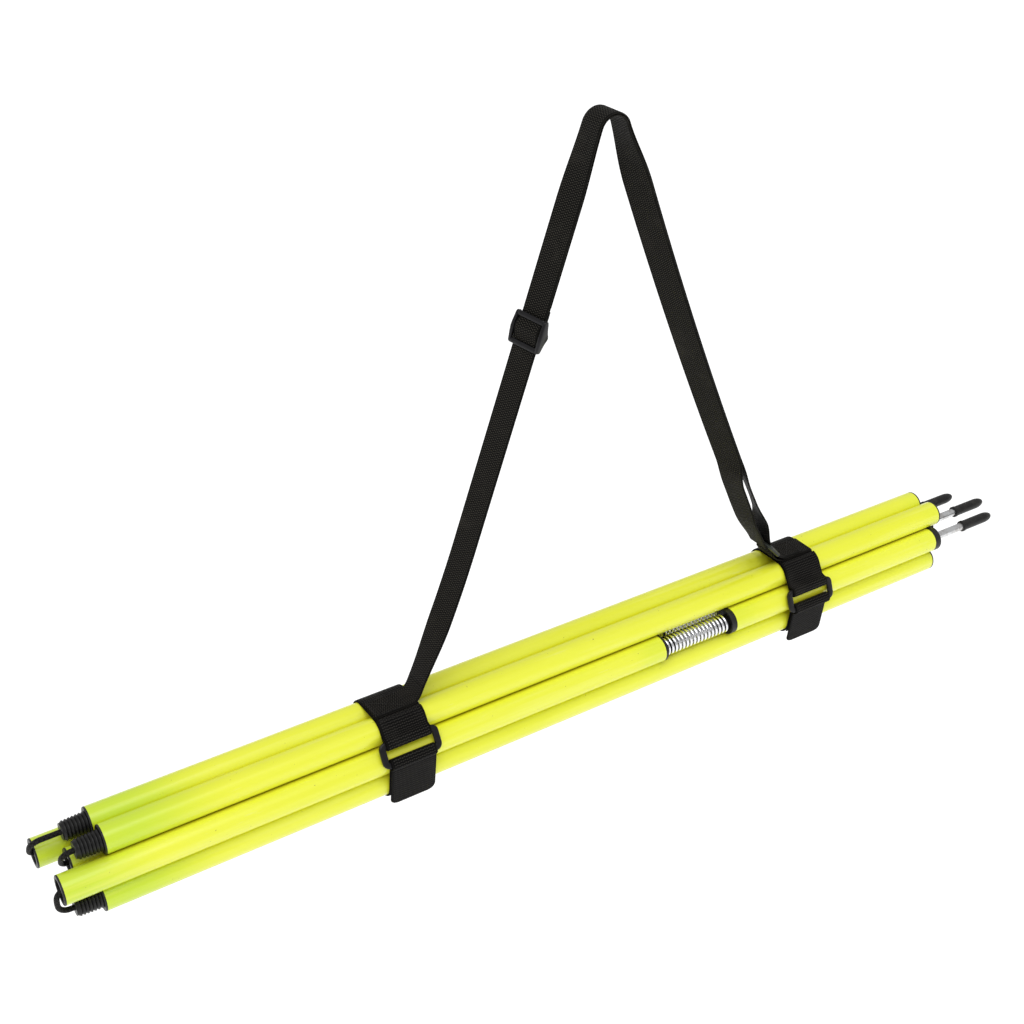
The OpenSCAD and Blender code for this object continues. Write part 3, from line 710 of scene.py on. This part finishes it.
def frame_loop(side, x):
    """The plastic loop: a rounded frame."""
    w, h, c = (LOOP_W - LOOP_BAR) / 2, (LOOP_H - LOOP_BAR) / 2, 0.0032
    path = []
    for sx, sy, a0 in ((1, 1, 0), (-1, 1, 90), (-1, -1, 180), (1, -1, 270)):
        for i in range(7):
            a = math.radians(a0 + 15 * i)
            path.append((sx * (w - c) + c * math.cos(a), sy * (h - c) + c * math.sin(a)))
    dense = []
    for i, p in enumerate(path):
        q = path[(i + 1) % len(path)]
        m = max(1, round(math.dist(p, q) / 0.004))
        dense += [(p[0] + (q[0] - p[0]) * j / m, p[1] + (q[1] - p[1]) * j / m) for j in range(m)]
    pts = [to_3d(x + a, at_loop(side, b, LOOP_O)) for a, b in dense]
    return tube(pts, None, 20, closed=True, squash=(LOOP_BAR / 2, LOOP_T / 2, out_of_loop(side)))


for side_name, x in BAND_X.items():
    body_tail = side_name + "_tail"
    line, tail_path, half = band_line(side_name), tail_line(side_name), BAND_W / 2
    new_piece(f"webbing_band_{side_name}", *strip_2d(line, x, half, WEB, 1), band_mat, "carrier",
              "black_webbing", [f"band_{side_name}"])
    tail = new_piece(f"webbing_tail_{side_name}",
                     *strip_2d(tail_path, x, half, WEB, -1, 0.2, 0.0009, 0.006),
                     tail_mat, None, "black_webbing", [f"band_tail_{side_name}"])
    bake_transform(tail)
    new_piece(f"hook_tape_{side_name}", *strip_2d(pad_line(side_name), x, half - 0.003, PAD_T, -1),
              hook_mat, "carrier", "hook_tape", [f"hook_pad_{side_name}"])
    new_piece(f"loop_{side_name}", *frame_loop(side_name, x), buckle_mat, "carrier", "buckle_plastic",
              [f"band_loop_{side_name}"])
    rows = []
    for s in (0.0022, 0.0052):
        rows += seam(ladder_line(line, x, s, half - 0.0025, 1))
    new_piece(f"band_thread_{side_name}", *join(rows), thread_mat, "carrier", "black_webbing")
    rows = []
    total = lengths([to_3d(x, p) for p in tail_path])[-1]
    for s in (total - 0.0035, total - 0.0065, 0.0105):
        rows += seam(ladder_line(tail_path, x, s, half - 0.0025, -1))
    new_piece(f"tail_thread_{side_name}", *join(rows), thread_mat, body_tail, "black_webbing")


# ------------------------------------------------------------------ shoulder strap
def lean(p):
    """How far the line from the apex's round to p leans off straight down."""
    return math.atan2(abs(p.x), -p.y) - math.asin(MID_R / p.length)


def ease(x):
    c = min(1.0, max(0.0, x))
    return c * c * (3 - 2 * c)


Y = Vector((0, 1, 0))


class Leg:
    """One leg's line from the apex down, with its webbing's twist."""

    def __init__(self, end, side, twist, sway):
        """sway gives x off the straight line, from the share of the length and the way past its end."""
        a = lean(end)
        self.sway = sway
        self.a, self.side, self.twist = a, side, math.radians(twist)
        self.start = Vector((side * math.cos(a), 0, math.sin(a))) * MID_R
        self.t = Vector((side * math.sin(a), 0, -math.cos(a)))
        self.length = (Vector((end.x, 0, end.y)) - self.start).length

    def across(self, s, turned=0.0):
        q = (self.twist + turned) * ease(s / 0.060) * ease((self.length - s) / 0.060)
        return Y * math.cos(q) + self.t.cross(Y) * math.sin(q)

    def out(self, s):
        return (self.t.cross(self.across(s)) * self.side).normalized()

    def at(self, s, o=0.0):
        off = self.sway(s / self.length, s - self.length)
        return self.start + self.t * s + Vector((off, 0, 0)) + self.out(s) * o


LEFT = Leg(LEFT_AIM, -1, -15, lambda u, e: -0.008 * max(0.0, (e + 0.130) / 0.130) ** 2)
RIGHT = Leg(RIGHT_END, 1, -30, lambda u, e: -0.026 * u * (1 - u))
LAYER = TOUCH / 2 + WEB / 2                            # each layer's middle, off the leg's line
SPREAD = 0.0021                                        # the same at the ring's bar
# each layer's way off along x, and its turn in degrees, where the right leg's two layers part
GAPE = {1: (0.0090, 50), -1: (-0.0050, 16)}


def part(s):
    """How far each layer of the right leg is spread by the ring's bar."""
    return (SPREAD - TOUCH / 2) * ease((s - RIGHT.length + 0.090) / 0.090)


def gape(s):
    """From 0 to 1: how far the slack above the ring holds the right leg's two layers apart."""
    d = RIGHT.length - s
    return ease((0.118 - d) / 0.036) * ease(d / 0.040)


def leg_line(leg, a, b, sign, parting=False, step=0.003):
    """Stations along a leg's outer (sign 1) or inner (sign -1) layer, from a to b."""
    n = max(1, round(abs(b - a) / step))
    out = []
    for i in range(n + 1):
        s = a + (b - a) * i / n
        g = gape(s) if parting else 0.0
        p = leg.at(s, sign * (LAYER + (part(s) if parting else 0.0)))
        way_off, turned = GAPE[sign]
        out.append((p + Vector((way_off * g, 0, 0)), leg.across(s, math.radians(turned) * g)))
    return out


def over_apex(r, from_left):
    """Stations over the apex at radius r, without its two ends."""
    a1, a2 = math.pi - LEFT.a, RIGHT.a
    if not from_left:
        a1, a2 = a2, a1
    n = 26
    return [(Vector((r * math.cos(a1 + (a2 - a1) * i / n), 0, r * math.sin(a1 + (a2 - a1) * i / n))), Y)
            for i in range(1, n)]


bar = RIGHT.at(RIGHT.length)
o_end = RIGHT.out(RIGHT.length)
bend_r = SPREAD + WEB / 2
round_bar = [(bar + (o_end * math.cos(math.radians(q)) + RIGHT.t * math.sin(math.radians(q))) * bend_r, Y)
             for q in range(15, 180, 15)]
outer_line = (leg_line(LEFT, LEFT.length, 0, 1) + over_apex(MID_R + LAYER, True)
              + leg_line(RIGHT, 0, RIGHT.length, 1, True) + round_bar
              + leg_line(RIGHT, RIGHT.length, 0, -1, True) + over_apex(MID_R - LAYER, False))
inner_start = (LEFT.at(0, -LAYER), LEFT.across(0))
new_piece("strap_run", *ribbon(outer_line + [inner_start], HALF, WEB), strap_mat, "shoulder_strap",
          "black_webbing", ["strap_apex", "strap_left_leg", "strap_right_leg", "strap_inner_right"])

SLIDER_S, TONGUE = 0.166, 0.024                        # the slider down the leg, and its webbing above it
DOUBLED = SLIDER_S - TONGUE
inner = new_piece("strap_doubled_run", *ribbon(leg_line(LEFT, 0, DOUBLED, -1), HALF, WEB, 0.0, -1),
                  inner_mat, None, "black_webbing", ["strap_inner_left"])
LEFT.at(0.004, -LAYER)
LEFT.at(DOUBLED - 0.002, -LAYER)
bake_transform(inner)

# left end, sewn flat on the band
PATCH_Z = UP[1].y + BAND_R + WEB + 0.0003 + WEB / 2


def xz(points, y=0.0):
    return [Vector((p[0], y, p[1])) for p in points]


bl = BAND_X["left"]
start_l = LEFT.at(LEFT.length, LAYER)
path = [(start_l.x, start_l.z), (start_l.x - 0.0019, start_l.z - 0.0042),
        (start_l.x - 0.0044, start_l.z - 0.0086), (bl + 0.0180, PATCH_Z + 0.0008),
        (bl + 0.0120, PATCH_Z), (bl, PATCH_Z), (bl - 0.0205, PATCH_Z)]
left_path = resample(catmull(xz(path), 8), 0.002)
left_end = new_piece("strap_left_patch", *ribbon([(p, Y) for p in left_path], HALF, WEB, 0.4), strap_mat,
                     None, "black_webbing", ["strap_left_end"])
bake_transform(left_end)

# the tab that holds the ring, sewn flat on the right band
br = BAND_X["right"]
r_tab = 0.002 + TOUCH + WEB / 2                        # round the ring's 4 mm bar
path = [(br + 0.0205, PATCH_Z), (br + 0.010, PATCH_Z), (br - 0.010, PATCH_Z),
        (br - 0.0160, PATCH_Z + 0.0001), (br - 0.0208, PATCH_Z + 0.0014),
        (RING_X + 0.0016, PATCH_Z + 0.0052), (RING_X - r_tab, SWING_Z - 0.002)]
low = catmull(xz(path), 8)
loop_over = xz([(RING_X + r_tab * math.cos(math.radians(q)), SWING_Z + r_tab * math.sin(math.radians(q)))
                for q in range(180, -40, -12)])
UPPER_Z = PATCH_Z + WEB + TOUCH                        # the tab's second layer
back = catmull(xz([(loop_over[-1].x, loop_over[-1].z), (RING_X + 0.0042, SWING_Z - 0.0052),
                   (br - 0.0175, PATCH_Z + 0.0034), (br - 0.0125, UPPER_Z), (br - 0.006, UPPER_Z),
                   (br + 0.0085, UPPER_Z)]), 8)
tab_path = resample(low + loop_over + back[1:], 0.0018)
tab = new_piece("ring_tab_webbing", *ribbon([(p, Y) for p in tab_path], HALF, WEB, 0.1), strap_mat, None,
                "black_webbing", ["ring_tab"])
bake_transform(tab)


def flat_seams(points, z):
    """Stitches on a level face at z, from each (x, y) to the next."""
    samples = [(Vector((px, py, z)), Vector((0, 0, 1))) for px, py in points]
    out = []
    for a, b in zip(samples, samples[1:]):
        out += seam([a, b])
    return out


def box_x(x0, x1, y, z):
    """A box of stitches with a cross in it."""
    return (flat_seams([(x0, -y), (x1, -y), (x1, y), (x0, y), (x0, -y), (x1, y)], z)
            + flat_seams([(x0, y), (x1, -y)], z))


SEAM_Y = 0.0102                                        # the outer stitches, off the webbing's middle
rows = box_x(bl - 0.0185, bl + 0.010, SEAM_Y, PATCH_Z + WEB / 2)
new_piece("left_patch_thread", *join(rows), thread_mat, "carrier", "black_webbing")
rows = box_x(br - 0.0110, br + 0.0070, SEAM_Y, UPPER_Z + WEB / 2)
for across_x in (0.0110, 0.0190):
    rows += flat_seams([(br + across_x, -SEAM_Y), (br + across_x, SEAM_Y)], PATCH_Z + WEB / 2)
new_piece("right_patch_thread", *join(rows), thread_mat, "carrier", "black_webbing")


# ------------------------------------------------------------------ slider
def at_slider(s, w, o):
    """A point by the slider: s down the leg from its middle, w across and o out."""
    return LEFT.start + LEFT.t * (SLIDER_S + s) + LEFT.across(SLIDER_S) * w + LEFT.out(SLIDER_S) * o


BAR_O, BAR_R = -0.0028, 0.0009                         # middle bar: out from the leg's line, and radius
RAIL, END_BAR = 0.0035, 0.0045                         # widths of the side rails and the end bars
TOP_O = 0.00485                                        # the end bars' top
HALF_L = 0.01375                                       # half the slider's length
RAIL_IN = HALF + 0.0008
BOW = 0.0011                                           # how far a rail's outer face falls back at its ends
# a rail's side as (s, o), from the middle of its top to the middle of its foot
half_side = [(0, TOP_O + 0.0012), (0.005, TOP_O + 0.0009), (0.010, TOP_O + 0.0002),
             (HALF_L - 0.0010, TOP_O - 0.0001), (HALF_L - 0.0002, TOP_O - 0.0010),
             (HALF_L - 0.0003, 0.0008), (HALF_L - 0.0014, 0.0002), (0.0080, -0.0008), (0.0044, -0.0021),
             (0.0018, -0.0035), (0, -0.0038)]
mirrored = [(-s, o) for s, o in reversed(half_side[1:-1])]
side_shape = mirrored[4:] + half_side + mirrored[:4]
# the rail's sections from its inner face to its outer one: place across, and how far its edge is drawn in
sections = ((RAIL_IN, 0.0006), (RAIL_IN + 0.0004, 0.0001), (RAIL_IN + 0.0010, 0),
            (RAIL_IN + RAIL - 0.0012, 0), (RAIL_IN + RAIL - 0.0004, 0.0004), (RAIL_IN + RAIL, 0.0011))
CENTRE_O = 0.001                                       # what the edges are drawn in towards
out_of_slider, across_slider = LEFT.out(SLIDER_S), LEFT.across(SLIDER_S)
parts = []
for sign in (-1, 1):
    rings = []
    for w, inset in sections:
        ring = []
        for s, o in side_shape:
            d = Vector((s, o - CENTRE_O))
            d = d * (1 - inset / max(d.length, 1e-6))
            bow = -BOW * abs(s) / HALF_L * (w - RAIL_IN) / RAIL
            ring.append(at_slider(d.x, sign * (w + bow), d.y + CENTRE_O))
        rings.append(ring if sign > 0 else ring[::-1])
    ring_uv = [i * 0.002 for i in range(len(side_shape) + 1)]
    parts.append(loft(rings, False, ring_uv, [i * 0.0007 for i in range(len(rings))]))
    bar_s, reach = sign * (HALF_L - END_BAR / 2), HALF + 0.0014
    line = [at_slider(bar_s, -reach + 2 * reach * i / 12, TOP_O - 0.0014) for i in range(13)]
    parts.append(tube(line, None, 20, squash=(END_BAR / 2 - 0.0001, 0.00135, out_of_slider)))
line = [at_slider(0, w, BAR_O) for w in (-HALF - 0.0012, -HALF / 2, 0, HALF / 2, HALF + 0.0012)]
parts.append(tube(line, BAR_R, 16))
new_piece("slider_frame", *join(parts), buckle_mat, "slider", "buckle_plastic", ["strap_slider"])

# the run that rises between the end bars
hump = [(-0.0089, 0.0026), (-0.0072, 0.0036), (-0.0045, 0.0050), (-0.0015, 0.0054), (0.0020, 0.0046),
        (0.0060, 0.0032), (0.0089, 0.0026)]
hump_pts = resample(catmull([at_slider(s, 0, o) for s, o in hump], 6), 0.0011)
new_piece("slider_hump", *ribbon([(p, across_slider) for p in hump_pts], HALF - 0.0001, WEB, 0.35),
          strap_mat, "slider", "black_webbing")

# the sewn loop round the middle bar
TUCK_O = BAR_O + 0.0009                                # its under layer
r_fold = BAR_R + TOUCH + WEB / 2
path = [(-0.0205, TUCK_O), (-0.014, TUCK_O), (-0.008, BAR_O + 0.0004), (-0.0045, BAR_O - 0.0012),
        (-0.0020, BAR_O - r_fold * 0.92)]
path += [(r_fold * math.cos(math.radians(q)), BAR_O + r_fold * math.sin(math.radians(q)))
         for q in range(-75, 91, 15)]
path += [(-0.004, BAR_O + r_fold), (-0.012, BAR_O + r_fold), (-0.0195, -0.0010), (-0.0238, -LAYER)]
loop_pts = resample([at_slider(s, 0, o) for s, o in path], 0.0011)
new_piece("slider_webbing", *ribbon([(p, across_slider) for p in loop_pts], HALF - 0.0002, WEB, 0.3),
          inner_mat, "slider", "black_webbing", ["slider_loop"])
rows = []
for s in (-0.018, -0.014):
    rows += seam([(at_slider(s, w, TUCK_O - WEB / 2), -out_of_slider) for w in (-0.0105, 0, 0.0105)])
new_piece("slider_thread", *join(rows), thread_mat, "slider", "black_webbing")


# ------------------------------------------------------------------ floor and light
FLOOR_Z, FLOOR_HALF = -0.95, 30
floor_me = bpy.data.meshes.new("floor")
corners = [(x * FLOOR_HALF, y * FLOOR_HALF, FLOOR_Z) for x, y in ((-1, -1), (1, -1), (1, 1), (-1, 1))]
floor_me.from_pydata(corners, [], [(0, 1, 2, 3)])
floor = bpy.data.objects.new("floor", floor_me)
scene.collection.objects.link(floor)
floor_look = Look("floor_paper", Roughness=0.9, Specular_IOR_Level=0.1, Emission_Color=(1, 1, 1, 1),
                  Emission_Strength=0.26)
paper = floor_look.noise(floor_look.place(), 3, 2)
floor_look.colour(floor_look.mix(paper, (0.93, 0.93, 0.93), (0.95, 0.95, 0.95)))
floor_me.materials.append(floor_look.m)

# soft light from all round, with a white backdrop
WORLD_LIGHT = 0.55
world = bpy.data.worlds.new("world")
world.use_nodes = True
tree = world.node_tree
light, backdrop = tree.nodes["Background"], tree.nodes.new("ShaderNodeBackground")
for background in (light, backdrop):
    background.inputs["Color"].default_value = (1, 1, 1, 1)
light.inputs["Strength"].default_value = WORLD_LIGHT
choice, ray = tree.nodes.new("ShaderNodeMixShader"), tree.nodes.new("ShaderNodeLightPath")
sources = (ray.outputs["Is Camera Ray"], light.outputs[0], backdrop.outputs[0])
for socket, source in zip(choice.inputs, sources):
    tree.links.new(source, socket)
tree.links.new(choice.outputs[0], tree.nodes["World Output"].inputs["Surface"])
scene.world = world

SUN_STRENGTH, SUN_SPREAD = 1.5, 50                     # watts per square metre, and degrees across
SUN_FROM = Vector((-0.3, -0.5, 1.2))
sun_data = bpy.data.lights.new("soft_sun", "SUN")
sun_data.energy, sun_data.angle = SUN_STRENGTH, math.radians(SUN_SPREAD)
sun = bpy.data.objects.new("soft_sun", sun_data)
sun.rotation_euler = SUN_FROM.to_track_quat("Z", "Y").to_euler()
scene.collection.objects.link(sun)
scene.view_settings.view_transform = "Standard"
scene.view_settings.look = "None"
